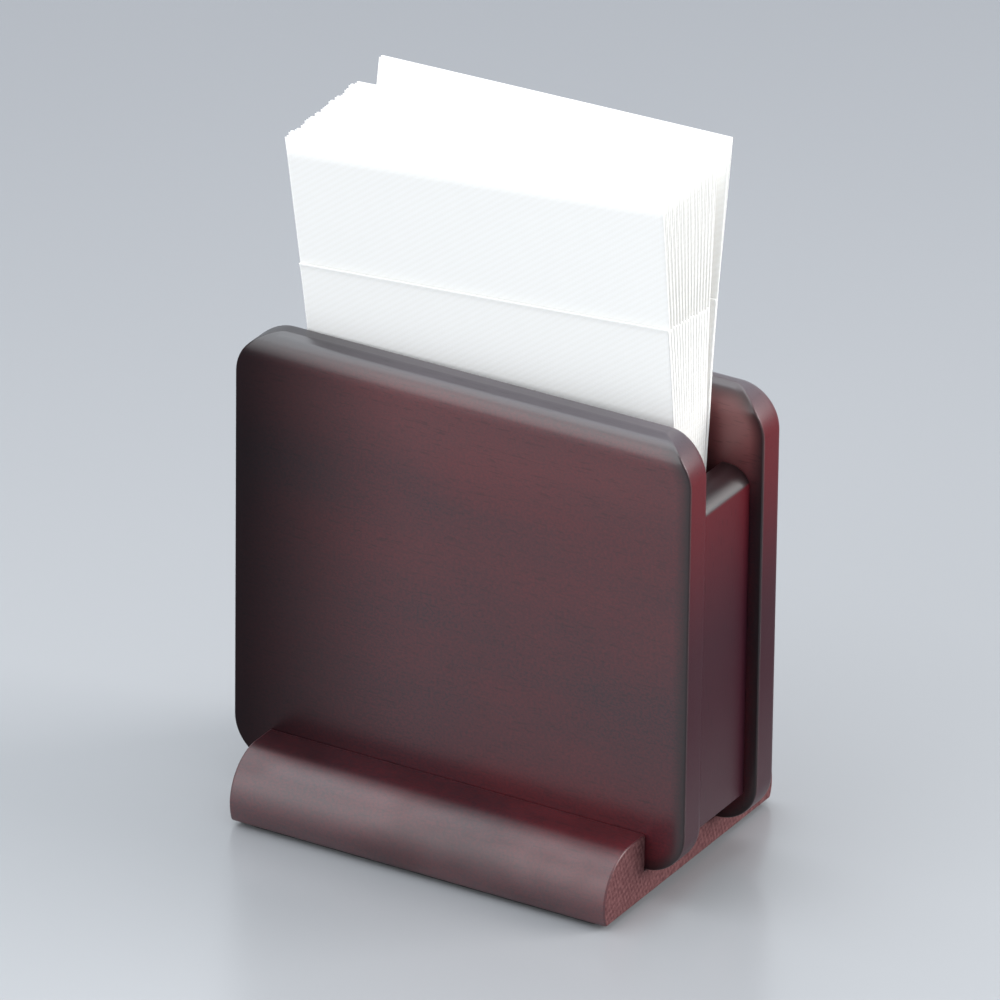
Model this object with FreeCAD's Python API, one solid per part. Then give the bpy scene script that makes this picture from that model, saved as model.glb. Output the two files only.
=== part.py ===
"""Wooden napkin holder: two rounded panels glued into a lipped base, filled with folded napkins.

Units are millimetres. X runs along the holder, Y from front to back, Z up.
The origin is on the table, under the middle of the base.
"""
import FreeCAD, Part
import math
import os

Vector = FreeCAD.Vector

# ---- driving dimensions --------------------------------------------------------------
# Slot between the panels, where the napkins stand, and the napkin it is made for.
slot_width = 18.6
napkin_width = 81.0
napkin_side_room = 2.8

# Spacers: the two end blocks that hold the panels apart.
spacer_thickness = 6.5
spacer_inset = 2.2
spacer_bottom_rise = 7.0
spacer_top_drop = 15.2
spacer_crown_radius = 4.8
spacer_easing = 0.6

# Panels: two equal boards that stand in the base's channel, a little out of line: the front
# one is glued this far to the left of the middle and the rear one as far to the right.
panel_height = 93.4
panel_thickness = 8.2
panel_stagger = 0.5
panel_corner_radius = 9.0
panel_arris_radius = 2.6

# Base: one length of moulding with a bullnose lip in front of and behind the channel.
base_end_setback = 9.0
lip_depth = 15.7
lip_height = 14.0
channel_floor = 6.0
nose_radius = 10.0

# Non-slip sheet under the base.
pad_thickness = 1.0
pad_inset = 1.5
pad_corner_radius = 3.0

# Screws that come up through the base into the panels, their heads sunk into its underside.
screw_shank_radius = 1.6
screw_head_radius = 3.0
screw_head_height = 1.7
screw_length = 20.0
screw_head_recess = 0.3

# Clearances.
screw_clearance = 0.2
thread_clearance = 0.05
pilot_hole_relief = 1.0

# Napkins: sheets folded in three across and then in two, off centre, so that the long leaf
# stands above the short one. They stand on their fold in the channel.
napkin_count = 16
napkin_long_leaf = 136.0
napkin_short_leaf = 108.0
napkin_packing = 0.86
napkin_tilt_deg = 3.0
napkin_shift = 1.05
napkin_floor_gap = 0.05
napkin_fold_tolerance = 1.5
napkin_raised_by = 2.4

# How the stack stands in the slot: from a panel's inner face to the middle of the nearest
# napkin, at the left and at the right edge.
gap_front_left = 1.7
gap_front_right = 3.7
gap_back = 3.7

# How it fans out above the rim: the slope of the first and of the last napkin.
lean_front_left = -0.130
lean_front_right = -0.040
lean_back = 0.130
raised_lean_left = 0.265
raised_lean_right = 0.210
fan_bend_below_rim = 30.0
fan_bend_height = 40.0

# ---- places worked out from them -----------------------------------------------------
slot_half = slot_width / 2
panel_outer = slot_half + panel_thickness
panel_length = napkin_width + 2 * (napkin_side_room + spacer_thickness + spacer_inset)
base_length = panel_length - 2 * base_end_setback
base_half_depth = panel_outer + lip_depth
floor_z = pad_thickness + channel_floor
lip_top_z = pad_thickness + lip_height
panel_bottom_z = floor_z
panel_top_z = panel_bottom_z + panel_height
panel_mid_y = slot_half + panel_thickness / 2
spacer_outer_x = panel_length / 2 - spacer_inset
spacer_inner_x = spacer_outer_x - spacer_thickness
spacer_mid_x = spacer_outer_x - spacer_thickness / 2
spacer_bottom_z = panel_bottom_z + spacer_bottom_rise
spacer_top_z = panel_top_z - spacer_top_drop
screw_head_z = pad_thickness + screw_head_recess
screw_tip_z = screw_head_z + screw_length
nose_y = base_half_depth - nose_radius
nose_z = lip_top_z - nose_radius
foot_y = nose_y + math.sqrt(nose_radius ** 2 - (nose_z - pad_thickness) ** 2)
depth_front_left = gap_front_left - slot_half
depth_front_right = gap_front_right - slot_half
depth_back = slot_half - gap_back
smaller_fill = depth_back - max(depth_front_left, depth_front_right)
napkin_thickness = napkin_packing * smaller_fill / (napkin_count - 1)


def box(x0, x1, y0, y1, z0, z1):
    """Box between two corners."""
    return Part.makeBox(x1 - x0, y1 - y0, z1 - z0, Vector(x0, y0, z0))


def edges_along(shape, axis):
    """Straight edges of a shape that run along one axis (0, 1 or 2 for X, Y or Z)."""
    found = []
    for edge in shape.Edges:
        start, end = edge.Vertexes[0].Point, edge.Vertexes[-1].Point
        step = end - start
        if step.Length > 0 and abs(abs(step[axis]) - step.Length) < 1e-6:
            found.append(edge)
    return found


# ---- screws and their holes ----------------------------------------------------------
def screw_places():
    """Axis of every screw: one under the middle of each panel."""
    return [(side * panel_stagger, side * panel_mid_y) for side in (-1, 1)]


def screw(x, y):
    """Pan-head screw with a plain shank."""
    foot = Vector(x, y, screw_head_z)
    head = Part.makeCylinder(screw_head_radius, screw_head_height, foot)
    return head.fuse(Part.makeCylinder(screw_shank_radius, screw_length, foot))


def screw_hole(x, y):
    """Counterbore and clearance hole through the base, then the pilot hole up into the panel."""
    mouth_z = pad_thickness - screw_head_recess
    seat_z = screw_head_z + screw_head_height
    counterbore = Part.makeCylinder(screw_head_radius + screw_clearance, seat_z - mouth_z,
                                    Vector(x, y, mouth_z))
    bore = Part.makeCylinder(screw_shank_radius + screw_clearance, floor_z - mouth_z,
                             Vector(x, y, mouth_z))
    pilot = Part.makeCylinder(screw_shank_radius + thread_clearance,
                              screw_tip_z + pilot_hole_relief - floor_z, Vector(x, y, floor_z))
    return counterbore.fuse([bore, pilot])


# ---- wooden pieces -------------------------------------------------------------------
def panel():
    """Rear panel: a board with round corners and rounded edges, drilled for its screw."""
    board = box(panel_stagger - panel_length / 2, panel_stagger + panel_length / 2,
                slot_half, panel_outer, panel_bottom_z, panel_top_z)
    board = board.makeFillet(panel_corner_radius, edges_along(board, 1))
    outline = [edge for edge in board.Edges
               if abs(edge.Vertexes[0].Point.y - edge.Vertexes[-1].Point.y) < 1e-6]
    board = board.makeFillet(panel_arris_radius, outline)
    return board.cut([screw_hole(x, y) for x, y in screw_places() if y > 0])


def spacer():
    """Right spacer: an end block with a rounded crown on its outer top edge."""
    block = box(spacer_inner_x, spacer_outer_x, -slot_half, slot_half,
                spacer_bottom_z, spacer_top_z)
    crown = [edge for edge in edges_along(block, 1)
             if edge.Vertexes[0].Point.x > spacer_mid_x and edge.Vertexes[0].Point.z > spacer_bottom_z]
    block = block.makeFillet(spacer_crown_radius, crown)
    eased = [edge for edge in edges_along(block, 1)
             if abs(edge.Vertexes[0].Point.z - spacer_bottom_z) < 1e-6
             or abs(edge.Vertexes[0].Point.x - spacer_inner_x) < 1e-6]
    return block.makeFillet(spacer_easing, eased)



def base_profile():
    """Outline of the base in the YZ plane: bullnose lips either side of a square channel."""
    angle = math.radians(15)

    def at(y, z):
        return Vector(0, y, z)

    def nose(side):
        """Round front of one lip, from its foot up to where it meets the flat top."""
        bulge = at(side * (nose_y + nose_radius * math.cos(angle)),
                   nose_z + nose_radius * math.sin(angle))
        return Part.Arc(at(side * foot_y, pad_thickness), bulge, at(side * nose_y, lip_top_z)).toShape()

    points = [at(nose_y, lip_top_z), at(panel_outer, lip_top_z), at(panel_outer, floor_z),
              at(-panel_outer, floor_z), at(-panel_outer, lip_top_z), at(-nose_y, lip_top_z)]
    edges = [Part.makeLine(start, end) for start, end in zip(points, points[1:])]
    edges.append(Part.makeLine(at(-foot_y, pad_thickness), at(foot_y, pad_thickness)))
    edges += [nose(1), nose(-1)]
    return Part.Wire(Part.__sortEdges__(edges))


def base():
    """Base moulding, drilled for the two screws."""
    moulding = Part.Face(base_profile()).extrude(Vector(base_length, 0, 0))
    moulding.translate(Vector(-base_length / 2, 0, 0))
    return moulding.cut([screw_hole(x, y) for x, y in screw_places()])


def base_pad():
    """Thin non-slip sheet with rounded corners, set in from the edge of the base."""
    half_x = base_length / 2 - pad_inset
    half_y = foot_y - pad_inset
    sheet = box(-half_x, half_x, -half_y, half_y, 0, pad_thickness)
    return sheet.makeFillet(pad_corner_radius, edges_along(sheet, 2))


# ---- napkins -------------------------------------------------------------------------
bend_start_z = panel_top_z - fan_bend_below_rim
bend_end_z = bend_start_z + fan_bend_height
napkin_ceiling_z = floor_z + napkin_long_leaf + napkin_raised_by + napkin_width


def leaf_wire(x, depth, lean, front, back):
    """Section of a leaf at one x: upright, then a parabola, then leaning by the given slope.

    front and back are how far its two faces lie from the middle plane.
    """
    top_depth = depth + lean * (fan_bend_height / 2 + napkin_ceiling_z - bend_end_z)

    def side(offset):
        foot = Vector(x, depth + offset, floor_z - napkin_width)
        start = Vector(x, depth + offset, bend_start_z)
        handle = Vector(x, depth + offset, (bend_start_z + bend_end_z) / 2)
        end = Vector(x, depth + offset + lean * fan_bend_height / 2, bend_end_z)
        top = Vector(x, top_depth + offset, napkin_ceiling_z)
        bend = Part.BezierCurve()
        bend.setPoles([start, handle, end])
        return foot, top, [Part.makeLine(foot, start), bend.toShape(), Part.makeLine(end, top)]

    front_foot, front_top, rising = side(front)
    back_foot, back_top, falling = side(back)
    ring = rising + [Part.makeLine(front_top, back_top)] + falling[::-1]
    ring.append(Part.makeLine(back_foot, front_foot))
    return Part.Wire(Part.__sortEdges__(ring))


def leaf_slab(depths, leans, front, back):
    """Wide slab between the leaf's section at the left end and its section at the right end."""
    reach = panel_length / 2
    slope_depth = (depths[1] - depths[0]) / napkin_width
    slope_lean = (leans[1] - leans[0]) / napkin_width
    depth_mid = sum(depths) / 2
    lean_mid = sum(leans) / 2
    wires = [leaf_wire(x, depth_mid + slope_depth * (x - napkin_shift),
                       lean_mid + slope_lean * (x - napkin_shift), front, back)
             for x in (-reach, reach)]
    return Part.makeLoft(wires, True, True)


def leaf_outline(lift, height_from, height_to):
    """Prism over the leaf seen from the front: its edges are upright in the slot and lean above it."""
    tilt = math.radians(napkin_tilt_deg)
    across = napkin_width * math.cos(tilt)
    climb = napkin_width * math.sin(tilt)
    foot_z = floor_z + napkin_floor_gap + lift
    knee = bend_start_z - floor_z + fan_bend_height / 2

    def left_edge(height):
        return napkin_shift - across / 2 - max(0.0, height - knee) * math.sin(tilt)

    heights = [height_from] + [knee] * (height_from < knee < height_to) + [height_to]
    left = [Vector(left_edge(h), 0, foot_z + h) for h in heights]
    right = [point + Vector(across, 0, climb) for point in left]
    ring = left + right[::-1] + left[:1]
    face = Part.Face(Part.makePolygon(ring))
    face.translate(Vector(0, -panel_length, 0))
    return face.extrude(Vector(0, 2 * panel_length, 0))


def napkin(index):
    """One folded napkin. Index 0 is the front one; the last stands a little proud of the rest."""
    last = napkin_count - 1
    raised = index == last
    place = index / last
    share = index / (last - 1)
    depths = (depth_front_left + (depth_back - depth_front_left) * place,
              depth_front_right + (depth_back - depth_front_right) * place)
    leans = (lean_front_left + (lean_back - lean_front_left) * share,
             lean_front_right + (lean_back - lean_front_right) * share)
    if raised:
        leans = (raised_lean_left, raised_lean_right)
    lift = napkin_raised_by if raised else 0.0
    slip = napkin_fold_tolerance * (place + 0.35 * math.sin(2.1 * index))
    half = napkin_thickness / 2
    stack = leaf_slab(depths, leans, -half, half)
    leaf = stack.common(leaf_outline(lift, 0.0, napkin_long_leaf + slip))
    above_flap = leaf_outline(lift, napkin_short_leaf - slip, napkin_long_leaf + slip + napkin_width)
    in_front = leaf_slab(depths, leans, -half - napkin_thickness, 0.0)
    return leaf.cut(in_front.common(above_flap))


# ---- write the parts -----------------------------------------------------------------
def build():
    """All nodes by name."""
    rear_panel = panel()
    right_spacer = spacer()
    half_turn = FreeCAD.Rotation(Vector(0, 0, 1), 180)
    front_panel = rear_panel.transformed(FreeCAD.Placement(Vector(), half_turn).toMatrix())
    nodes = {
        "base": base(),
        "base_pad": base_pad(),
        "front_panel": front_panel,
        "rear_panel": rear_panel,
        "left_spacer": right_spacer.mirror(Vector(), Vector(1, 0, 0)),
        "right_spacer": right_spacer,
        "base_screws": Part.makeCompound([screw(x, y) for x, y in screw_places()]),
    }
    for index in range(napkin_count):
        nodes["napkin_%02d" % (index + 1)] = napkin(index)
    return nodes


os.makedirs("parts", exist_ok=True)
for name, shape in build().items():
    shape.exportStep("parts/" + name + ".step")
    print(name, shape.ShapeType, len(shape.Solids), "solids, volume %.1f mm3" % shape.Volume)
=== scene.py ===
# %% [markdown]
# # A wooden holder full of paper napkins
# The holder is two lacquered boards set into a moulded base, with a block at each end to keep them
# apart. Sixteen folded paper napkins stand between them. The imported CAD model gives every piece
# its place, so the first step loads it.

# %% Load the frame
import math

import bpy
import numpy as np
from mathutils import Matrix


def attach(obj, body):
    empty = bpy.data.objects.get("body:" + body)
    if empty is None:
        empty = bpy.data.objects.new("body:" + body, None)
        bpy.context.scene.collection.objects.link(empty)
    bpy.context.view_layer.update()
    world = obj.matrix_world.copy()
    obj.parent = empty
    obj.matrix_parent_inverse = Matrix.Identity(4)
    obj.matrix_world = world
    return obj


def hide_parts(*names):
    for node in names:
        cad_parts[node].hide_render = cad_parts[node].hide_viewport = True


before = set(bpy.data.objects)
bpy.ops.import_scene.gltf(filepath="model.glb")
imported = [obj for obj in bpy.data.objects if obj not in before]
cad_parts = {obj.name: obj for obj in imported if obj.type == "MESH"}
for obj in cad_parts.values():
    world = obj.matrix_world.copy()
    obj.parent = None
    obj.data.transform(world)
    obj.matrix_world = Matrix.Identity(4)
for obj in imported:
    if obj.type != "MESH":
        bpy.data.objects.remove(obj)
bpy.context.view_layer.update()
MM = 0.001

# %% [markdown]
# ## Camera
# A long lens from a little over two and a half metres keeps the boards' edges nearly
# parallel. A constraint that tracks a target could aim it, but a turned matrix says exactly
# where it looks and how far it is rolled, so that is what is used here.

# %% Camera
AZIMUTH, ELEVATION, ROLL = (math.radians(angle) for angle in (30.293, 26.259, 0.714))
LOOKS_AT = np.array([20.525, -37.13, 90.197]) * MM
DISTANCE = 2.6925
LENS_MM, SENSOR_MM = 503.0, 36.0
SEES_FROM, SEES_TO = 0.05, 60.0


def placed(name, data, right, back, place):
    """Object whose matrix has the columns right, back x right and back, and stands at place."""
    matrix = np.eye(4)
    matrix[:3, :3] = np.column_stack([right, np.cross(back, right), back])
    matrix[:3, 3] = place
    thing = bpy.data.objects.new(name, data)
    bpy.context.scene.collection.objects.link(thing)
    thing.matrix_world = Matrix(matrix.tolist())
    return thing


def place_camera():
    """Camera at target + distance * back, where back comes from the azimuth and elevation."""
    back = np.array([math.sin(AZIMUTH) * math.cos(ELEVATION),
                     -math.cos(AZIMUTH) * math.cos(ELEVATION), math.sin(ELEVATION)])
    level = np.array([math.cos(AZIMUTH), math.sin(AZIMUTH), 0.0])
    right = math.cos(ROLL) * level + math.sin(ROLL) * np.cross(back, level)
    camera = placed("camera", bpy.data.cameras.new("camera"), right, back,
                    LOOKS_AT + DISTANCE * back)
    camera.data.lens, camera.data.sensor_width = LENS_MM, SENSOR_MM
    camera.data.clip_start, camera.data.clip_end = SEES_FROM, SEES_TO
    bpy.context.scene.camera = camera
    return camera


print("camera stands at", [round(c, 3) for c in place_camera().matrix_world.translation])

# %% [markdown]
# ## Shader values
# Every finish here is worked out by nodes. Nodes could be wired one at a time, but sums are
# easier to read as sums, so one small class stands for the output of a node and lets Python's
# own operators add the Math nodes. A finish is then a function that gives one such value for
# each socket of the shader that varies over the piece.

# %% Shader values
class Value:
    """One output in a material's node tree. +, - and * with a value or a number add Math nodes."""

    def __init__(self, tree, socket=None):
        self.tree, self.socket = tree, socket

    def node(self, kind, settings=None, sockets=None, output=0):
        """Adds any node: its settings first, then its sockets, and gives one of its outputs."""
        made = self.tree.nodes.new("ShaderNode" + kind)
        for name, setting in (settings or {}).items():
            setattr(made, name, setting)
        for name, given in (sockets or {}).items():
            if isinstance(given, Value):
                self.tree.links.new(given.socket, made.inputs[name])
            else:
                made.inputs[name].default_value = given
        return Value(self.tree, made.outputs[output])

    def maths(self, operation, first, second=0.0):
        return self.node("Math", {"operation": operation}, {0: first, 1: second})

    def __add__(self, other):
        return self.maths("ADD", self, other)

    def __sub__(self, other):
        return self.maths("SUBTRACT", self, other)

    def __rsub__(self, other):
        return self.maths("SUBTRACT", other, self)

    def __mul__(self, other):
        return self.maths("MULTIPLY", self, other)

    __radd__, __rmul__ = __add__, __mul__

    def between(self, low, high):
        """0 below low, 1 above high, and a smooth rise between them."""
        return self.node("MapRange", {"interpolation_type": "SMOOTHSTEP"},
                         {"Value": self, "From Min": low, "From Max": high})

    def mix(self, first, second):
        """A colour between two, by how large this value is."""
        return self.node("Mix", {"data_type": "RGBA"}, {0: self, 6: first, 7: second}, 2)

    def mix_vectors(self, first, second):
        """A vector between two, by how large this value is."""
        return self.node("Mix", {"data_type": "VECTOR"}, {0: self, 4: first, 5: second}, 1)

    def split(self, axes):
        """The chosen parts of this vector, 0 for X, 1 for Y and 2 for Z, as plain values."""
        return [self.node("SeparateXYZ", None, {0: self}, axis) for axis in axes]


print("a Value adds its own nodes:", [name for name in dir(Value) if name[0] != "_"])

# %% Finishes
def finish(name, shade, **constants):
    """A material: shade(start) gives what varies over it, and the constants are set outright."""
    material = bpy.data.materials.new(name)
    material.use_nodes = True
    shader = material.node_tree.nodes["Principled BSDF"]
    for socket, constant in constants.items():
        shader.inputs[socket.replace("_", " ")].default_value = constant
    for socket, value in shade(Value(material.node_tree)).items():
        material.node_tree.links.new(value.socket, shader.inputs[socket])
    print(name, "has", len(material.node_tree.nodes), "nodes")
    return material


# %% [markdown]
# ## Patterns at their real scale
# Grain, pores and fibres have real sizes. Blender's noise can be scaled in its own node, but
# wood needs it stretched one way, so a Mapping node scales the place instead: its numbers are
# cells per metre, along the grain and across it.

# %% Patterns at their real scale
def own_place(start):
    """Where a point is on its own piece, in metres."""
    return start.node("TexCoord", output="Object")


def facing(start, axis):
    """Which way the surface faces: one part of its normal."""
    return start.node("TexCoord", output="Normal").split([axis])[0]


def along_grain(start, grain, cells, away=(0, 0, 0)):
    """Place times cells[0] along the grain and cells[1] across it, moved away by a few cells."""
    scale = [cells[0] if axis == grain else cells[1] for axis in range(3)]
    return start.node("Mapping", None,
                      {"Vector": own_place(start), "Scale": scale, "Location": away})


def noise(start, vector, detail, roughness=0.5, distortion=0.0):
    """Blender's noise on a vector that already has its real scale."""
    return start.node("TexNoise", None, {"Vector": vector, "Scale": 1.0, "Detail": detail,
                                         "Roughness": roughness, "Distortion": distortion})


def bump(start, height, strength, depth_mm, over=None):
    """The surface's direction once a pattern is pressed into it, over an earlier such pattern."""
    sockets = {"Height": height, "Strength": strength, "Distance": depth_mm * MM}
    if over:
        sockets["Normal"] = over
    return start.node("Bump", None, sockets)


def marked(start, name):
    """The value that a mesh carries in one of its own attributes, or 0 where it has none."""
    return start.node("Attribute", {"attribute_name": name}, output="Fac")


def cell_mm(cells):
    """How long and how wide one cell of a pattern is, in millimetres."""
    return [round(1 / count / MM, 2) for count in cells]


print("at 1000 cells per metre a cell is", *cell_mm([1000]), "mm long")

# %% [markdown]
# ## Stained wood
# The boards are a close-grained hardwood stained wine red and sprayed with a satin lacquer.
# A picture of veneer could be wrapped round them, but five noises do it at any size: clouds where
# the stain took unevenly, long bands of figure along the grain, short dark pores, and a mottle and
# a dust-fine fuzz in the lacquer. Edges that the sprayer shaded darker, rims, tops and polished
# rounds are marked on the mesh, in attributes of its points. Painted light and shade go over them:
# the rims paler towards the top, the face paler near its top, the tops a pale tint as the sky's
# reflection, and the front board's left end dark as painted shade.

# %% Stained wood
WINE_DARK, WINE_RED = (0.024, 0.0085, 0.014, 1.0), (0.088, 0.0105, 0.0145, 1.0)
# A rim's red stain, painted darker low down as shade, and redder and lighter near the top as light
# from above.
RIM_SHADED_LOW, RIM_LIT_RED = (0.031, 0.0065, 0.012, 1.0), (0.095, 0.009, 0.013, 1.0)
# Painted light: a paler red laid on a board's face near its top, where light falls.
TOP_LIGHT_TINT = (0.230, 0.072, 0.072, 1.0)
# Painted reflection: a pale grey-pink laid on the tops, where the lacquer mirrors the bright sky.
TOP_REFLECTION_TINT = (0.070, 0.058, 0.070, 1.0)
SHADED = (0.0055, 0.0033, 0.0045, 1.0)
CLOUDS, FIGURE, PORES = (16, 26), (18, 210), (260, 2900)
MOTTLE, FUZZ = (1500, 1900), (2600, 2600)
MIDDLE_LOW, MIDDLE_HIGH = (0.028, 0.050), (0.066, 0.092)
# Heights where a face's painted top light, a rim's painted light and a rim's duller lacquer come
# in.
TOP_LIGHT_HEIGHT, RIM_LIT_HEIGHT, DULL_RIM_HEIGHT = (0.076, 0.092), (0.050, 0.096), (0.004, 0.045)
# The second and third strengths are for the painted reflection on the tops and the painted shade
# at the left end.
SHADE_STRENGTH, REFLECTION_TINT_STRENGTH, LEFT_SHADE_STRENGTH, PORE_STRENGTH = 0.88, 0.9, 0.97, 0.35
SHEEN = 0.54
LACQUER = {"Coat_IOR": 1.75, "Specular_IOR_Level": 0.06}
for pattern, cells in (("clouds", CLOUDS), ("figure", FIGURE), ("pores", PORES),
                       ("mottle", MOTTLE), ("fuzz", FUZZ)):
    print(pattern, "run", cell_mm(cells), "mm along and across the grain")


# %% Wood's shade and finish
def wood_grain(start, grain, away):
    """Clouds, bands of figure, pores, mottle and fuzz, each stretched along the grain."""
    cloud = noise(start, along_grain(start, grain, CLOUDS, away), detail=2.0)
    figure = noise(start, along_grain(start, grain, FIGURE, away), detail=4.0, roughness=0.6,
                   distortion=0.4)
    pores = noise(start, along_grain(start, grain, PORES, away), detail=1.0)
    fuzz = noise(start, along_grain(start, grain, FUZZ, away), detail=2.0)
    mottle = noise(start, along_grain(start, grain, MOTTLE, away), detail=3.0, roughness=0.7)
    return cloud, figure, pores.between(0.60, 0.74), mottle, fuzz


def wood_shade(grain, away, left_shade_span=None, top_light=0.1):
    """Stained wood. Towards the left it falls to a dark, dull end over the stretch of X given, in
    metres: painted shade, in both its colour and its sheen. Near a board's top the face is painted
    paler, as light falling there, by as much as the last number says."""
    def shade(start):
        cloud, figure, pore, mottle, fuzz = wood_grain(start, grain, away)
        x, z = own_place(start).split([0, 2])
        rim, polish = marked(start, "rim"), marked(start, "polish")
        middle = z.between(*MIDDLE_LOW) * (1 - z.between(*MIDDLE_HIGH))
        stain = (cloud.between(0.36, 0.66) * 0.5 + figure.between(0.30, 0.72) * 0.12
                 + mottle.between(0.32, 0.68) * 0.6 - middle * 0.25)
        # Near the top the face is painted paler, as light falling on it.
        face = (z.between(*TOP_LIGHT_HEIGHT) * top_light).mix(stain.mix(WINE_DARK, WINE_RED), TOP_LIGHT_TINT)
        # On the rims the colour is painted lighter and redder towards the top, where light falls
        # from above.
        colour = rim.mix(face, z.between(*RIM_LIT_HEIGHT).mix(RIM_SHADED_LOW, RIM_LIT_RED))
        colour = (marked(start, "shaded_edge") * SHADE_STRENGTH).mix(colour, SHADED)
        # Painted reflection: the tops are laid over with a pale tint, as the sky seen in the
        # lacquer.
        colour = (marked(start, "top_reflection") * REFLECTION_TINT_STRENGTH).mix(colour, TOP_REFLECTION_TINT)
        unshaded_sheen = 1
        # Painted shade: towards the left end the colour turns dark and the lacquer's sheen fades.
        if left_shade_span:
            left_shade = 1 - x.between(*left_shade_span)
            colour = (left_shade * LEFT_SHADE_STRENGTH).mix(colour, SHADED)
            unshaded_sheen = 1 - left_shade
        sheen = SHEEN * (unshaded_sheen - rim * (z.between(*DULL_RIM_HEIGHT) * 0.65 + 0.30))
        height = fuzz * 0.35 + mottle * 0.3 + figure * 0.15 - pore * 0.4
        return {
            "Base Color": (pore * PORE_STRENGTH).mix(colour, SHADED),
            "Roughness": mottle * 0.12 + fuzz * 0.08 + 0.30,
            "Coat Weight": sheen * (1 - polish) + polish,
            "Normal": bump(start, height, strength=0.35, depth_mm=0.05),
        }
    return shade


def wood(name, grain, away, left_shade_span=None, top_light=0.1):
    """A wooden piece's finish: satin lacquer over the stain."""
    return finish(name, wood_shade(grain, away, left_shade_span, top_light), Coat_Roughness=0.30, **LACQUER)


print("lacquer:", LACQUER, "sheen", SHEEN)

# %% [markdown]
# ## Meshes from grids
# Every wooden piece is a ring of points carried from one end or face to the other. It
# could be modelled by hand from a cube, but a grid worked out with numpy has exactly the
# sizes that it is given. The two end rings are closed with one flat face each.

# %% Meshes from grids
OTHER_WAY_ROUND = [0, 3, 2, 1]


def grid_quads(rows, columns, closed=False):
    """Corner numbers of the quads between neighbouring rows of a grid; closed joins its ends."""
    here = np.arange(rows * columns).reshape(rows, columns)
    onward = np.roll(here, -1, axis=1) if closed else here[:, 1:]
    here = here if closed else here[:, :-1]
    return np.stack([here[:-1], onward[:-1], onward[1:], here[1:]], axis=-1).reshape(-1, 4)


def new_piece(name, points, faces, material):
    """Smooth-shaded object with one material, from points in mm and their faces."""
    mesh = bpy.data.meshes.new(name)
    mesh.from_pydata((points.reshape(-1, 3) * MM).tolist(), [], faces)
    mesh.polygons.foreach_set("use_smooth", np.ones(len(faces), bool))
    mesh.materials.append(material)
    piece = bpy.data.objects.new(name, mesh)
    bpy.context.scene.collection.objects.link(piece)
    return piece


print("a grid of 3 by 3 points has", len(grid_quads(3, 3)), "faces, and closed",
      len(grid_quads(3, 3, closed=True)))


# %% Rings carried along a piece
def carried_rings(name, rings, material, node, marks=None, smooth_deg=35):
    """Piece from rings, an array of (ring, point, xyz) in mm: quads between neighbours and two
    caps. Each mark is an attribute with one number per point."""
    count, around = rings.shape[:2]
    first, last = np.arange(around), np.arange(around) + (count - 1) * around
    faces = grid_quads(count, around, closed=True).tolist() + [first[::-1].tolist(), last.tolist()]
    piece = new_piece(name, rings, faces, material)
    piece.data.set_sharp_from_angle(angle=math.radians(smooth_deg))
    for mark, values in (marks or {}).items():
        field = piece.data.attributes.new(mark, "FLOAT", "POINT")
        field.data.foreach_set("value", values.astype(np.float32).ravel())
    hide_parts(node)
    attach(piece, "holder")
    corners = rings.reshape(-1, 3)
    print(name, len(faces), "faces,", corners.min(0).round(2), "to", corners.max(0).round(2))
    return piece


# %% Sanded edges and round corners
def eased(piece, width, angle_deg=40):
    """Sands a piece's sharp edges round: a Bevel modifier of that width in millimetres."""
    bevel = piece.modifiers.new("sanded edges", "BEVEL")
    bevel.width, bevel.segments, bevel.limit_method = width * MM, 3, "ANGLE"
    bevel.angle_limit, bevel.harden_normals = math.radians(angle_deg), True
    return piece


def round_corners(half_sizes, radius, inset, steps=17):
    """Outline of a rectangle with round corners: corner centre + (radius - inset) * (cos a,
    sin a). inset may be an array; the answer has one outline for each of its rows."""
    angles = np.linspace(0, np.pi / 2, steps) + np.arange(4)[:, None] * np.pi / 2
    signs = np.array([[1, 1], [-1, 1], [-1, -1], [1, -1]])
    centres = signs * (np.array(half_sizes) - radius)
    reach = radius - np.atleast_1d(inset)[:, None, None]
    first = centres[:, 0, None] + reach * np.cos(angles)
    second = centres[:, 1, None] + reach * np.sin(angles)
    rows = first.shape[0]
    return first.reshape(rows, -1), second.reshape(rows, -1)


print("an outline with round corners has", round_corners((2, 2), 1, 0)[0].size, "points")

# %% [markdown]
# ## Shape of a board
# Both boards are cut from one moulding whose front upper edge is a wide round, almost a
# quarter circle. Their ends and corners are cut square to the face, so a crisp line runs
# round each corner where the cut meets the round edge. A Bevel modifier could not vary like
# that. Here the outline is carried outwards over the front face, over the rim and round the
# back edge, and the depth of a point on the front follows from its height.

# %% Shape of a board
PANEL_HEIGHT, PANEL_THICKNESS, SLOT_HALF, FLOOR_Z = 93.4, 8.2, 9.3, 7.0
CORNER_RADIUS, BACK_ROUND = 9.0, 2.6
TOP_ROUND_HEIGHT, TOP_ROUND_DEPTH = 5.1, 4.6
TOP_ROUND_RADIUS = (TOP_ROUND_HEIGHT ** 2 + TOP_ROUND_DEPTH ** 2) / (2 * TOP_ROUND_DEPTH)
HALF_HEIGHT = PANEL_HEIGHT / 2
# How far inside the outline the front's rings lie, and how many of them come before the rim.
FRONT_INSETS = np.array([8.8, 7.2, 5.8, 4.8, 4.0, 3.2, 2.6, 2.0, 1.5, 1.0, 0.5, 0.0])
RIM_START = len(FRONT_INSETS)
EDGE_SINK, RIM_STEP, CAP_INSET = 0.25, 0.5, BACK_ROUND + 0.6


def top_round(below_top):
    """Depth of the round upper edge: a circle that leaves the face and ends at the top."""
    climbed = np.clip(TOP_ROUND_HEIGHT - below_top, 0, None)
    return TOP_ROUND_RADIUS - np.sqrt(TOP_ROUND_RADIUS ** 2 - climbed ** 2)


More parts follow.
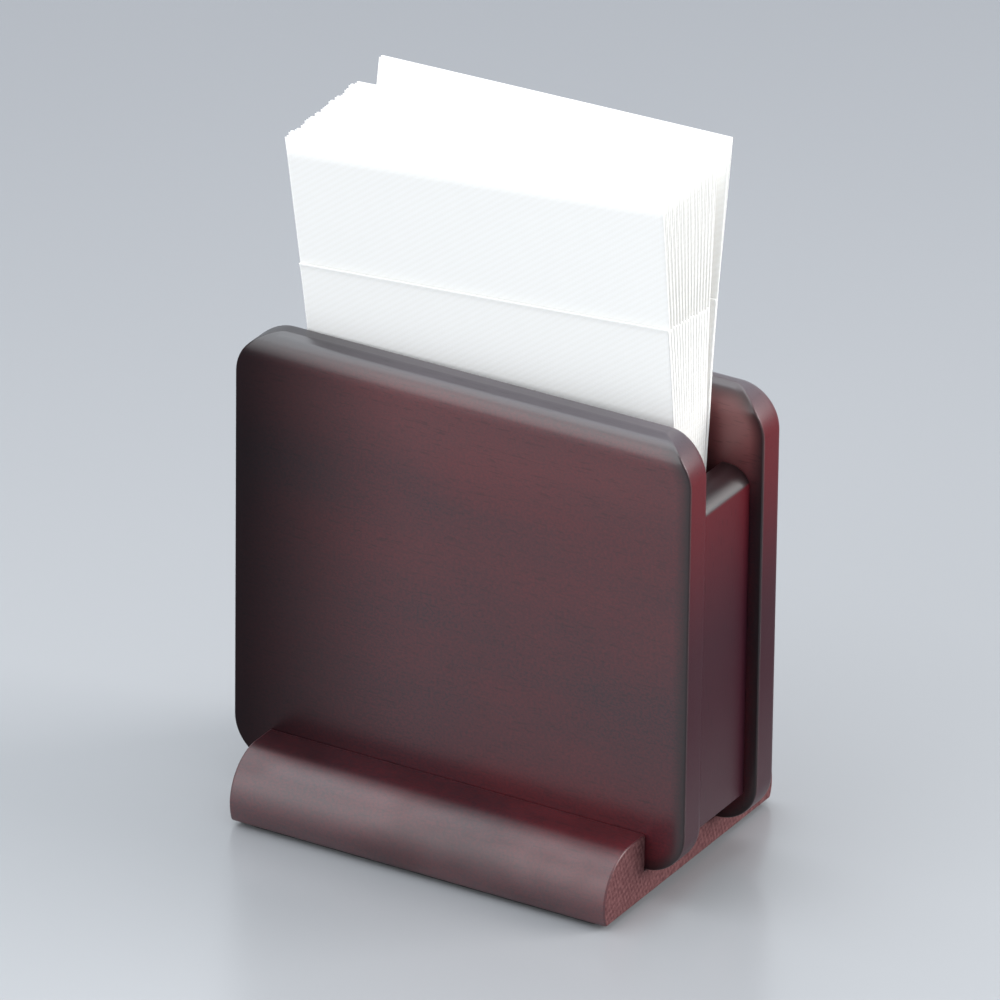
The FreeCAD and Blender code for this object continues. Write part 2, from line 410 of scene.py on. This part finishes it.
def board_rings(half_length, back_top):
    """Rings of a board about its middle: outwards over the front, over the rim and round the
    back edge. The front's depth is top_round near the top, and near the other edges EDGE_SINK *
    (1 - inset / BACK_ROUND) squared. The back edge's radius goes from BACK_ROUND at the sides
    to back_top along the top. Gives X, depth, Z, the insets and the round's depth."""
    turn = np.linspace(0, np.pi / 2, 9)
    back_rings = slice(RIM_START + 1, -1)
    insets = np.concatenate([FRONT_INSETS, np.zeros(len(turn) + 1), [CAP_INSET]])
    half_sizes = (HALF_HEIGHT, half_length)
    z, x = round_corners(half_sizes, CORNER_RADIUS, insets)
    high = top_round(HALF_HEIGHT - z)
    sunk_edge = EDGE_SINK * np.clip(1 - insets / BACK_ROUND, 0, 1)[:, None] ** 2
    depth = np.maximum(high, sunk_edge)
    depth[RIM_START] += RIM_STEP
    # The step from an outline one millimetre inside is the direction straight outwards.
    inner_z, inner_x = round_corners(half_sizes, CORNER_RADIUS, 1.0)
    out_z, out_x = z[RIM_START] - inner_z, x[RIM_START] - inner_x
    radius = BACK_ROUND + (back_top - BACK_ROUND) * np.clip(out_z, 0, 1) ** 4
    inward = (1 - np.cos(turn))[:, None] * radius
    z[back_rings] -= inward * out_z
    x[back_rings] -= inward * out_x
    depth[back_rings] = PANEL_THICKNESS - (1 - np.sin(turn))[:, None] * radius
    depth[-1] = PANEL_THICKNESS
    return x, depth, z, insets, high


print("the upper edge's round has a radius of", round(TOP_ROUND_RADIUS, 2), "mm")

# %% [markdown]
# ## Two boards
# The front board holds the napkins where a hand reaches for them, so its top is the more polished,
# and its round is painted paler as a reflection of the sky. The rear board is a millimetre longer.
# The finish needs to know where it is: on the rim, the polished round, the top with its painted
# reflection or the shaded right edge. It could look at the normal, but that doesn't tell how far
# an edge is, so each point carries marks.

# %% Marks on a board
# Rises say how soon a mark grows over the round, and reaches how far it runs from an edge.
UP_REACH = 9.0
SIDE_SHADE, SIDE_REACH = 1.15, 2.8
# The last two rise numbers are for the pale tint painted on the tops as a reflection.
SHADE_RISE, POLISH_RISE, POLISH_MOST, REFLECTION_RISE, REFLECTION_LATE = 1.6, 3, 0.9, 4, 1.4
TOP_SHADE = 0.65


def board_marks(x, z, insets, high, gloss):
    """One number per point for each mark. On the front, a rise times the round's depth, as a
    share of the whole, or the shade of the right edge, which falls with the inset. From the rim
    backwards, up squared, where up climbs from 0 to 1 over the last UP_REACH mm to the top."""
    rounded = high / TOP_ROUND_DEPTH
    up = np.clip((z - HALF_HEIGHT + UP_REACH) / UP_REACH, 0, 1)[RIM_START:] ** 2
    right_edge = np.clip(SIDE_SHADE - insets / SIDE_REACH, 0, 1)[:, None] * (x > 0)
    marks = {"shaded_edge": np.maximum(rounded * SHADE_RISE, right_edge).clip(0, 1),
             "rim": np.zeros_like(x),
             "polish": (rounded * POLISH_RISE).clip(0, POLISH_MOST) * gloss,
             "top_reflection": np.clip(rounded * REFLECTION_RISE - REFLECTION_LATE, 0, 1) * gloss}
    for mark, behind in (("shaded_edge", TOP_SHADE * up), ("rim", 1 - up),
                         ("polish", POLISH_MOST * up), ("top_reflection", up)):
        marks[mark][RIM_START:] = behind
    marks["rim"][-2:] = 0
    return marks


print("a board's rim begins at ring", RIM_START)


# %% Two boards
def make_board(name, node, left, right, face_y, gloss, back_top, finish_used):
    """One board from left to right, its crisp edges sanded by a third of a millimetre. gloss is
    how polished its top is and how strongly its round is painted paler as the sky's reflection,
    and back_top the radius of its rear upper edge."""
    x, depth, z, insets, high = board_rings((right - left) / 2, back_top)
    rings = np.stack([x + (left + right) / 2, face_y + depth, z + FLOOR_Z + HALF_HEIGHT], axis=-1)
    marks = board_marks(x, z, insets, high, gloss)
    board = carried_rings(name, rings, finish_used, node, marks, smooth_deg=14)
    return eased(board, width=0.35, angle_deg=14)


# The front board's left end is painted in shade, darker and duller.
wood_front = wood("wood_front", 0, (0.31, 0.2, 0.7), left_shade_span=(-0.056, -0.006))
# The rear board's face gets much more painted light near its top.
wood_rear = wood("wood_rear", 0, (3.1, 5.3, 1.9), top_light=0.7)
make_board("front_board", "front_panel", left=-51.55, right=51.5, gloss=0.9, back_top=1.0,
           face_y=-SLOT_HALF - PANEL_THICKNESS, finish_used=wood_front)
make_board("rear_board", "rear_panel", left=-51.5, right=52.5, gloss=0.3, back_top=BACK_ROUND,
           face_y=SLOT_HALF, finish_used=wood_rear)

# %% [markdown]
# ## End grain
# The base is sawn to length last, and its two ends are only oiled, so they are paler, dull
# and show the ends of the fibres as a fine slanting mesh. A second material on the end faces
# would leave a hard seam, so the wood's own finish blends to this one where the surface
# faces along the stick.

# %% End grain
SAWN_PALE, SAWN_DEEP = (0.165, 0.074, 0.075, 1.0), (0.075, 0.028, 0.031, 1.0)
RAY_STEP, RING_STEP, WANDER = 1.05, 1.30, 5.0
WANDERS, SPECKS, BLOTCHES, LEFT_FADE = (100, 160), (1500, 1500), (34, 60), (-0.040, 0.005)


def end_grain(start):
    """Two crossed sets of wandering lines, sines of slanted Y and Z in mm, and fine specks."""
    y, z = (part * 1000 for part in own_place(start).split([1, 2]))
    wander = noise(start, along_grain(start, 0, WANDERS), detail=3.0) * WANDER
    rays = start.maths("SINE", (y * 0.94 + z * 0.34) * (2 * math.pi / RAY_STEP) + wander)
    rings = start.maths("SINE", (z * 0.92 - y * 0.38) * (2 * math.pi / RING_STEP) + wander)
    speck = noise(start, along_grain(start, 0, SPECKS), detail=2.0).between(0.42, 0.62)
    return (rays * 0.22 + rings * 0.22 + 0.5) * 0.6 + speck * 0.4


def base_shade(start):
    """Stained wood on the moulded faces and end grain on the ends. The stain is blotchy, and what
    faces straight up is darker towards the left."""
    stained = wood_shade(0, (7.7, 2.2, 4.1))(start)
    sawn = start.maths("ABSOLUTE", facing(start, 0)).between(0.75, 0.95)
    level = facing(start, 2).between(0.95, 1.0)
    left = level * (1 - own_place(start).split([0])[0].between(*LEFT_FADE)) * 0.5
    blotch = noise(start, along_grain(start, 0, BLOTCHES, (0.37, 0.11, 0.0)), detail=3.0)
    blotch = blotch.between(0.42, 0.66)
    mesh = end_grain(start)
    pressed = bump(start, mesh, strength=0.6, depth_mm=0.08, over=stained["Normal"])
    colour = (blotch * 0.28 + left).mix(stained["Base Color"], SHADED)
    return {
        "Base Color": sawn.mix(colour, mesh.mix(SAWN_DEEP, SAWN_PALE)),
        "Roughness": stained["Roughness"] * (1 - sawn) + sawn * 0.75,
        "Coat Weight": (1 - sawn) * (1 - level * 0.72) * (0.88 - blotch * 0.22),
        "Normal": sawn.mix_vectors(stained["Normal"], pressed),
    }


wood_base = finish("wood_base", base_shade, Coat_Roughness=0.45, **LACQUER)

# %% [markdown]
# ## Base
# The base is a length of moulding: one outline planed along the whole stick, then cut off. It
# could be cut from a block with Booleans, but one outline carried in a straight line is the
# same thing, and a small Bevel modifier takes the sharpness off, as sandpaper would.

# %% Base
BASE_HALF_LENGTH, BASE_HALF_DEPTH, LIP_TOP_Z, PAD_TOP_Z = 43.0, 33.2, 15.0, 1.0
NOSE_RADIUS, PANEL_OUTER = 10.0, SLOT_HALF + PANEL_THICKNESS


def base_outline():
    """Y and Z round the base: foot, round nose, flat lip, channel, and the same mirrored."""
    nose_y, nose_z = BASE_HALF_DEPTH - NOSE_RADIUS, LIP_TOP_Z - NOSE_RADIUS
    angles = np.linspace(math.asin((PAD_TOP_Z - nose_z) / NOSE_RADIUS), np.pi / 2, 25)
    nose = np.column_stack([nose_y + NOSE_RADIUS * np.cos(angles),
                            nose_z + NOSE_RADIUS * np.sin(angles)])
    channel = np.array([[PANEL_OUTER, LIP_TOP_Z], [PANEL_OUTER, FLOOR_Z]])
    half = np.concatenate([nose, channel])
    return np.concatenate([half, half[::-1] * [-1, 1]])


base_rings = np.stack([np.insert(base_outline(), 0, x, axis=1)
                       for x in (-BASE_HALF_LENGTH, BASE_HALF_LENGTH)])
eased(carried_rings("base_moulding", base_rings, wood_base, "base"), width=0.5)

# %% [markdown]
# ## End blocks
# A block at each end keeps the boards apart and closes the slot. It is cut from a strip with one
# upper edge rounded, so it too is one outline carried in a straight line, from board to board. Its
# round crown is polished, and its outer side takes the boards' rim colours: red stain painted
# lighter towards the top as light from above, and darker below as painted shade.

# %% End blocks
BLOCK_INNER, BLOCK_OUTER, BLOCK_LOW, BLOCK_HIGH = 43.3, 49.8, 14.0, 85.2
CROWN_RADIUS, CREASE_DEG, CROWN_START, CROWN_POLISH = 5.1, 20, 82.0, 0.42


def block_outline():
    """X and Z round the right end block: square inside, and outside a crown that ends in a
    crease, because its circle starts CREASE_DEG above the horizontal."""
    angles = np.linspace(math.radians(CREASE_DEG), np.pi / 2, 13)
    middle = BLOCK_OUTER - CROWN_RADIUS * math.cos(angles[0])
    crown = np.column_stack([middle + CROWN_RADIUS * np.cos(angles),
                             BLOCK_HIGH - CROWN_RADIUS + CROWN_RADIUS * np.sin(angles)])
    inside = [[BLOCK_INNER, BLOCK_HIGH], [BLOCK_INNER, BLOCK_LOW]]
    return np.concatenate([[[BLOCK_OUTER, BLOCK_LOW]], crown, inside])


def make_block(name, side):
    """The block on the right for side 1, on the left for side -1."""
    outline = block_outline() * [side, 1]
    rings = np.stack([np.insert(outline, 1, y, axis=1)
                      for y in (side * SLOT_HALF, -side * SLOT_HALF)])
    on_crown = rings[:, :, 2] > CROWN_START
    on_side = np.isclose(np.abs(rings[:, :, 0]), BLOCK_OUTER) & ~on_crown
    marks = {"rim": on_side, "shaded_edge": on_crown, "polish": on_crown * CROWN_POLISH}
    block_wood = wood("wood_" + name, 2, (side + 2.5, 9.1, 6.3))
    block = carried_rings(name + "_block", rings, block_wood, name + "_spacer", marks,
                          smooth_deg=15)
    return eased(block, width=0.3, angle_deg=18)


make_block("left", -1)
make_block("right", 1)

# %% [markdown]
# ## Foam pad
# Under the base a thin sheet of dark foam keeps the holder from sliding. The pad could stay
# as the CAD solid, but a rounded sheet with the open cells of foam looks right from below.

# %% Foam pad
FOAM_BLACK, FOAM_PIT_SHADE = (0.020, 0.020, 0.022, 1.0), (0.006, 0.006, 0.007, 1.0)
FOAM_CELLS = (1700, 1700)
PAD_HALF_SIZES, PAD_CORNER, CORNER_STEPS = (41.5, 30.865), 3.0, 9


def foam_shade(start):
    """Small open cells from a Voronoi pattern, 0.6 mm apart, their pits painted darker as the
    shade inside them.
    """
    cells = start.node("TexVoronoi", None,
                       {"Vector": along_grain(start, 0, FOAM_CELLS), "Scale": 1.0})
    wall = cells.between(0.15, 0.5)
    return {
        "Base Color": (1 - wall).mix(FOAM_BLACK, FOAM_PIT_SHADE),
        "Normal": bump(start, wall, strength=0.6, depth_mm=0.1),
    }


def pad_rings():
    """A flat sheet with round corners, its outline drawn in a little at both faces."""
    insets = np.array([0.3, 0.1, 0.0, 0.0, 0.1, 0.3])
    heights = np.array([0.0, 0.06, 0.2, 0.8, 0.94, 1.0]) * PAD_TOP_Z
    x, y = round_corners(PAD_HALF_SIZES, PAD_CORNER, insets, CORNER_STEPS)
    return np.stack([x, y, np.repeat(heights[:, None], x.shape[1], axis=1)], axis=-1)


foam = finish("pad_foam", foam_shade, Roughness=0.9)
pad = carried_rings("foam_pad", pad_rings(), foam, "base_pad")

# %% [markdown]
# ## Screws
# The foam hides two steel screws that come up through the base into the boards. They could
# be modelled again with threads, but nobody sees them, so they keep their CAD shape and only
# get a steel finish, on all their faces.

# %% Screws
ZINC_BRIGHT, ZINC_DULL = (0.55, 0.55, 0.56, 1.0), (0.38, 0.37, 0.36, 1.0)
DULL_PATCHES, TURNED_LINES = (900, 900), (9000, 300)


def steel_shade(start):
    """Turned steel: fine rings that follow the screw, and patches of dulled zinc."""
    dull = noise(start, along_grain(start, 2, DULL_PATCHES), detail=3.0)
    lines = noise(start, along_grain(start, 2, TURNED_LINES), detail=1.0)
    return {
        "Base Color": dull.mix(ZINC_BRIGHT, ZINC_DULL),
        "Roughness": dull * 0.3 + 0.2,
        "Normal": bump(start, lines, strength=0.2, depth_mm=0.03),
    }


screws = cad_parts["base_screws"]
screws.data.materials.clear()
screws.data.materials.append(finish("screw_steel", steel_shade, Metallic=1.0))
screws.data.polygons.foreach_set("material_index", np.zeros(len(screws.data.polygons), np.int32))

# %% [markdown]
# ## Napkin paper
# The napkins are soft white tissue, pressed between rollers that leave fine slanting rows of
# dots. The rows follow the paper, so the pattern reads a UV map: a point's place on the
# folded napkin, across it and up from its fold, as a share of the sheet. A picture of
# embossed paper could do it too, but it would blur.

# %% Napkin paper
SHEET_MM = 245.0
PAPER_GROOVE_SHADE, PAPER_WHITE = (0.885, 0.875, 0.845, 1.0), (0.91, 0.905, 0.885, 1.0)
ROW_STEP, DOT_STEP, FIBRES = 1.15, 0.80, (420, 420, 420)


def paper_shade(start):
    """Rows of dots: crossed sines of the folded sheet's slanted coordinates, and fine fibres. The
    paper is painted darker in the low places of the rows, as their shade.
    """
    flat = start.node("UVMap", {"uv_map": "folded_sheet"})
    across, up = (part * SHEET_MM for part in flat.split([0, 1]))
    rows = start.maths("SINE", (up * 0.83 - across * 0.56) * (2 * math.pi / ROW_STEP))
    dots = start.maths("SINE", (across * 0.83 + up * 0.56) * (2 * math.pi / DOT_STEP))
    pressed = rows * 0.35 + dots * rows * 0.15 + 0.5
    paper_place = start.node("Mapping", None, {"Vector": flat, "Scale": FIBRES})
    fibres = noise(start, paper_place, detail=3.0)
    return {
        "Base Color": pressed.mix(PAPER_GROOVE_SHADE, PAPER_WHITE),
        "Normal": bump(start, pressed + fibres * 0.5, strength=0.22, depth_mm=0.06),
    }


paper = finish("napkin_paper", paper_shade, Roughness=0.92, Specular_IOR_Level=0.25)

# %% [markdown]
# ## Folding a napkin
# A napkin is one square sheet folded in three across, then once near its middle so that a
# long leaf stands behind a short one. Cloth simulation could fold it, but paper creases
# stay where they are pressed, so each sheet is folded by formula: from its flat coordinates
# to its place in the slot, where it fans out above the boards' rim.

# %% Folding a napkin
NAPKIN_COUNT, NAPKIN_WIDTH, NAPKIN_SHIFT = 16, 81.0, 1.05
LONG_LEAF, SHORT_LEAF, LAYER, THIRD = 136.0, 108.0, 0.107, SHEET_MM / 3
SLIP, SLIP_JITTER, STEP_JITTER, CLEAR = 1.5, 0.10, 0.25, 0.05
# The leaves bend between two heights above the table. Above KNEE from its fold a leaf narrows.
BEND_START, BEND_END, KNEE = 70.4, 110.4, 83.4
TURN_HALF, CURL, CURL_REACH = 0.25, 0.25, 1.6
OPEN_FROM, OPEN_OVER, OPEN_MORE = SHORT_LEAF + 1, 25.0, 3.5
# A tilted napkin reaches WIDE sideways and CLIMB upwards. The last one stands raised.
TILT, WIDE, CLIMB = math.radians(3.0), 80.889, 4.239
RAISED_LIFT, RAISED_CLIMB = 2.0, CLIMB - 1.3


def leaves(index):
    """Lengths of the long and the short leaf: each napkin's fold has slipped a little further."""
    slip = SLIP * (index / (NAPKIN_COUNT - 1) + SLIP_JITTER * math.sin(2.1 * index))
    return LONG_LEAF + slip, SHORT_LEAF - slip


def fan(z):
    """How far a leaf of slope 1 has leaned at height z: a parabola, then a straight line."""
    span = BEND_END - BEND_START
    return np.clip(z - BEND_START, 0, span) ** 2 / (2 * span) + np.maximum(z - BEND_END, 0)


def zigzag(u):
    """Place across the leaf and layer, from the flat place u: there, back and there again.
    Within TURN_HALF of a crease the layer runs to halfway between the two that it joins."""
    layer = np.clip(np.floor(u / THIRD), 0, 2)
    along = u - layer * THIRD
    across = np.where(layer == 1, THIRD - along, along) / THIRD
    near = np.minimum(u % THIRD, THIRD - u % THIRD)
    inner = (u > THIRD / 2) & (u < SHEET_MM - THIRD / 2)
    turned = np.where(inner, np.clip(1 - near / TURN_HALF, 0, 1), 0)
    return across, layer + turned * (np.round(u / THIRD) - 0.5 - layer)


print("leaves of the first napkin", np.round(leaves(0), 1), "and of the last",
      np.round(leaves(NAPKIN_COUNT - 1), 1))


# %% Where a folded sheet stands
# Each pair is for a napkin's left and right edge. A run is how far it changes down the stack.
FIRST_DEPTHS, DEPTH_RUNS = np.array([-7.6, -5.6]), np.array([13.2, 11.2])
FIRST_LEANS, LEAN_RUNS = np.array([-0.130, -0.040]), np.array([0.260, 0.170])
RAISED_LEANS = np.array([0.265, 0.210])


def stance(index):
    """Depths and leans of a napkin: the first one's + a share of their runs. The last napkin
    stands raised and has leans of its own."""
    depths = FIRST_DEPTHS + DEPTH_RUNS * (index / (NAPKIN_COUNT - 1))
    leans = FIRST_LEANS + LEAN_RUNS * (index / (NAPKIN_COUNT - 2))
    return depths, RAISED_LEANS if index == NAPKIN_COUNT - 1 else leans


def napkin_points(index, u, v):
    """The folded sheet. u, v are flat places in mm; v runs down the long leaf, round the fold
    and up the short one. Depth = where the leaf stands + its lean * fan(z) + the layer. The
    layers open out above the short leaf's top, and that top curls a little."""
    raised = index == NAPKIN_COUNT - 1
    across, layer = zigzag(u)
    long_leaf, _ = leaves(index)
    height = np.abs(long_leaf - v)
    opened = 1 + OPEN_MORE * np.clip((long_leaf - v - OPEN_FROM) / OPEN_OVER, 0, 1)
    radius = LAYER * (0.5 + layer) * opened
    behind = np.clip((long_leaf - v) / radius, -1, 1)
    narrowed = np.maximum(height - KNEE, 0) * math.sin(TILT)
    jitter = STEP_JITTER * math.sin(4.7 * index) * (1 - across)
    x = NAPKIN_SHIFT + jitter + WIDE * (across - 0.5) - narrowed
    z = (FLOOR_Z + CLEAR + RAISED_LIFT * raised + height
         + (RAISED_CLIMB if raised else CLIMB) * across)
    sideways = (x - NAPKIN_SHIFT) / NAPKIN_WIDTH + 0.5
    depth, lean = (first + (last - first) * sideways for first, last in stance(index))
    from_top = v.max() - long_leaf - height
    curl = np.where(v > long_leaf, np.clip(1 - from_top / CURL_REACH, 0, 1) ** 2, 0)
    y = depth + lean * fan(z) + radius * behind - CURL * curl
    return np.stack([x, y, z], axis=-1)


print("the first napkin stands at depths and leans", *stance(0))

# %% [markdown]
# ## Sixteen napkins
# All sixteen come from the same formula with their own number in it, and none is a copy of
# another. The grid could be even, but paper turns only at its creases and edges, so its lines
# stand close there and wide elsewhere. A Solidify modifier gives the paper its thickness.

# %% Sixteen napkins
PAPER_THICKNESS, EDGE_LINE, FOLD_CLEAR, FOLD_REACH = 0.08, 0.4, 1.0, 0.6
CREASE_LINES = np.array([-1.2, -0.6, -0.25, -0.12, 0, 0.12, 0.25, 0.6, 1.2])
TOP_LINES = np.array([1.2, 0.8, 0.4, 0.0])
ACROSS_COUNT, LONG_COUNT, FOLD_COUNT, SHORT_COUNT = 28, 30, 7, 22


def flat_grid(long_leaf, short_leaf):
    """Flat places u and v where lines of the grid cross, closer where the paper turns."""
    sheet = long_leaf + short_leaf
    u = [np.linspace(0, SHEET_MM, ACROSS_COUNT), [EDGE_LINE, SHEET_MM - EDGE_LINE],
         THIRD + CREASE_LINES, 2 * THIRD + CREASE_LINES]
    v = [np.linspace(0, long_leaf - FOLD_CLEAR, LONG_COUNT),
         long_leaf + np.linspace(-FOLD_REACH, FOLD_REACH, FOLD_COUNT),
         np.linspace(long_leaf + FOLD_CLEAR, sheet - CURL_REACH, SHORT_COUNT),
         sheet - TOP_LINES]
    return np.meshgrid(*(np.unique(np.concatenate(lines)) for lines in (u, v)), indexing="ij")


def fold_napkin(index):
    """One napkin: the grid of flat places, folded, mapped and thickened."""
    long_leaf, short_leaf = leaves(index)
    grid_u, grid_v = flat_grid(long_leaf, short_leaf)
    points = napkin_points(index, grid_u, grid_v)
    faces = grid_quads(*grid_u.shape)[:, OTHER_WAY_ROUND]
    piece = new_piece("napkin_sheet_%02d" % (index + 1), points, faces.tolist(), paper)
    across, _ = zigzag(grid_u)
    folded = np.stack([across * NAPKIN_WIDTH, np.abs(long_leaf - grid_v)], axis=-1)
    flat = (folded.reshape(-1, 2) / SHEET_MM)[faces.ravel()]
    piece.data.uv_layers.new(name="folded_sheet").data.foreach_set("uv", flat.ravel())
    thick = piece.modifiers.new("paper thickness", "SOLIDIFY")
    thick.thickness, thick.offset = PAPER_THICKNESS * MM, 0.0
    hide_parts("napkin_%02d" % (index + 1))
    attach(piece, "napkin_stack")
    return points.reshape(-1, 3)


stack = np.concatenate([fold_napkin(index) for index in range(NAPKIN_COUNT)])
print("napkins reach from", stack.min(0).round(2), "to", stack.max(0).round(2), "mm")

# %% [markdown]
# ## Table top
# The holder stands on a pale grey laminate table. A plane would do, but the table top is a
# wide disc of rings instead, so that no corner of it shows from any side.

# %% Table top
# The far colour is painted shade: the table darkens towards the back.
TABLE_NEAR, TABLE_FAR_SHADED = (0.322, 0.330, 0.342, 1.0), (0.194, 0.202, 0.217, 1.0)
TABLE_CLOUDS, BACK_X, BACK_Y, TABLE_SHADE_SPAN = (3, 3), 0.505, 0.863, (-0.10, 0.60)
TABLE_RADII, TABLE_SIDES = np.array([200.0, 1000.0, 4000.0, 14000.0]), 64


def table_shade(start):
    """Pale satin laminate, painted darker towards the back as shade where the lamps' light falls
    off, with faint clouds in its colour and a slightly uneven sheen."""
    cloud = noise(start, along_grain(start, 0, TABLE_CLOUDS), detail=2.0)
    x, y = own_place(start).split([0, 1])
    shade_towards_back = (y * BACK_Y - x * BACK_X + cloud * 0.1).between(*TABLE_SHADE_SPAN)
    return {"Base Color": shade_towards_back.mix(TABLE_NEAR, TABLE_FAR_SHADED),
            "Roughness": cloud * 0.1 + 0.17}


def lay_table():
    """A disc of rings round the origin, radius growing towards the edge."""
    angles = np.linspace(0, 2 * np.pi, TABLE_SIDES, endpoint=False)
    points = np.stack([TABLE_RADII[:, None] * np.cos(angles),
                       TABLE_RADII[:, None] * np.sin(angles),
                       np.zeros((len(TABLE_RADII), TABLE_SIDES))], axis=-1)
    quads = grid_quads(len(TABLE_RADII), TABLE_SIDES, closed=True)[:, OTHER_WAY_ROUND]
    faces = quads.tolist() + [list(range(TABLE_SIDES))]
    table = new_piece("table_top", points, faces, finish("table_laminate", table_shade, IOR=1.8))


lay_table()

# %% [markdown]
# ## Light
# Three square soft boxes light the holder, one above it, one at its front left and one behind
# its right, and an even pale sky fills the shadows. A single lamp would be simpler, but each
# of these draws its own line of shine along the round edges. Blender's default view transform
# greys very bright and very saturated colours. White paper and wine-red wood should keep
# their own tone here, so the scene asks for the Standard transform.

# %% Light
HOLDER_MIDDLE = np.array([0, 0, 0.07])
# Added to a lamp's side, so that one straight above the holder would have a side as well.
HAIR = [1e-6, 0, 0]
SKY, SKY_STRENGTH = (0.90, 0.95, 1.0, 1.0), 0.72


def soft_light(name, place, size, power, colour):
    """A square soft box, size in metres and power in watts, that looks at the holder's middle."""
    lamp = bpy.data.lights.new(name, "AREA")
    lamp.size, lamp.energy, lamp.color = size, power, colour
    back = np.array(place) - HOLDER_MIDDLE
    back = back / np.linalg.norm(back)
    side = np.cross([0, 0, 1], back) + HAIR
    placed(name, lamp, side / np.linalg.norm(side), back, place)
    print(name, power, "W from", place)


soft_light("light_above", (-0.50, 0.10, 1.8), size=2.5, power=50.0, colour=(0.92, 0.96, 1.0))
soft_light("light_front", (-1.1, -2.1, 1.15), size=2.1, power=34.0, colour=(0.97, 0.98, 1.0))
soft_light("light_right", (1.8, 1.05, 1.0), size=1.4, power=61.0, colour=(1.0, 0.98, 0.97))
world = bpy.data.worlds.new("studio")
world.use_nodes = True
background = world.node_tree.nodes["Background"]
background.inputs["Color"].default_value = SKY
background.inputs["Strength"].default_value = SKY_STRENGTH
bpy.context.scene.world = world
bpy.context.scene.view_settings.view_transform = "Standard"

# %% [markdown]
